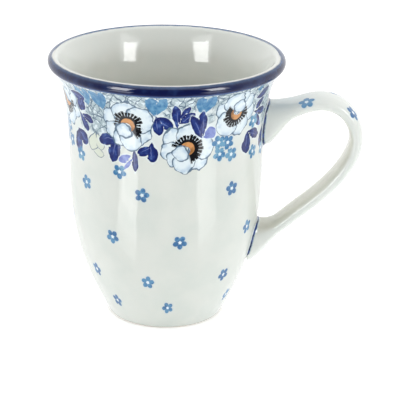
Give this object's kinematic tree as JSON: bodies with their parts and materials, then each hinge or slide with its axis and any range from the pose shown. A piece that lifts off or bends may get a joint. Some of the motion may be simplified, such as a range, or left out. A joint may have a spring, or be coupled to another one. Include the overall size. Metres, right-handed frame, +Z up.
{
  "type": "stoneware mug",
  "caption": "Tall stoneware mug with a flared rolled lip, a tapering foot and an ear-shaped strap handle.",
  "frame": {"origin": "centre of the foot ring, on the surface that the mug stands on", "axes": "+Z up along the axis of the cup, +X from the axis towards the handle"},
  "size_m": [0.1393, 0.104, 0.12],
  "materials": {
    "glazed_body": "gloss, painted and clear glazed",
    "cobalt_rim": "gloss",
    "glazed_handle": "gloss",
    "cobalt_line": "gloss"
  },
  "bodies": {
    "root": {"cup_body": "glazed_body", "rim_band": "cobalt_rim", "handle": "glazed_handle", "upper_slip_joint": "cobalt_line", "lower_slip_joint": "cobalt_line"}
  },
  "joints": []
}
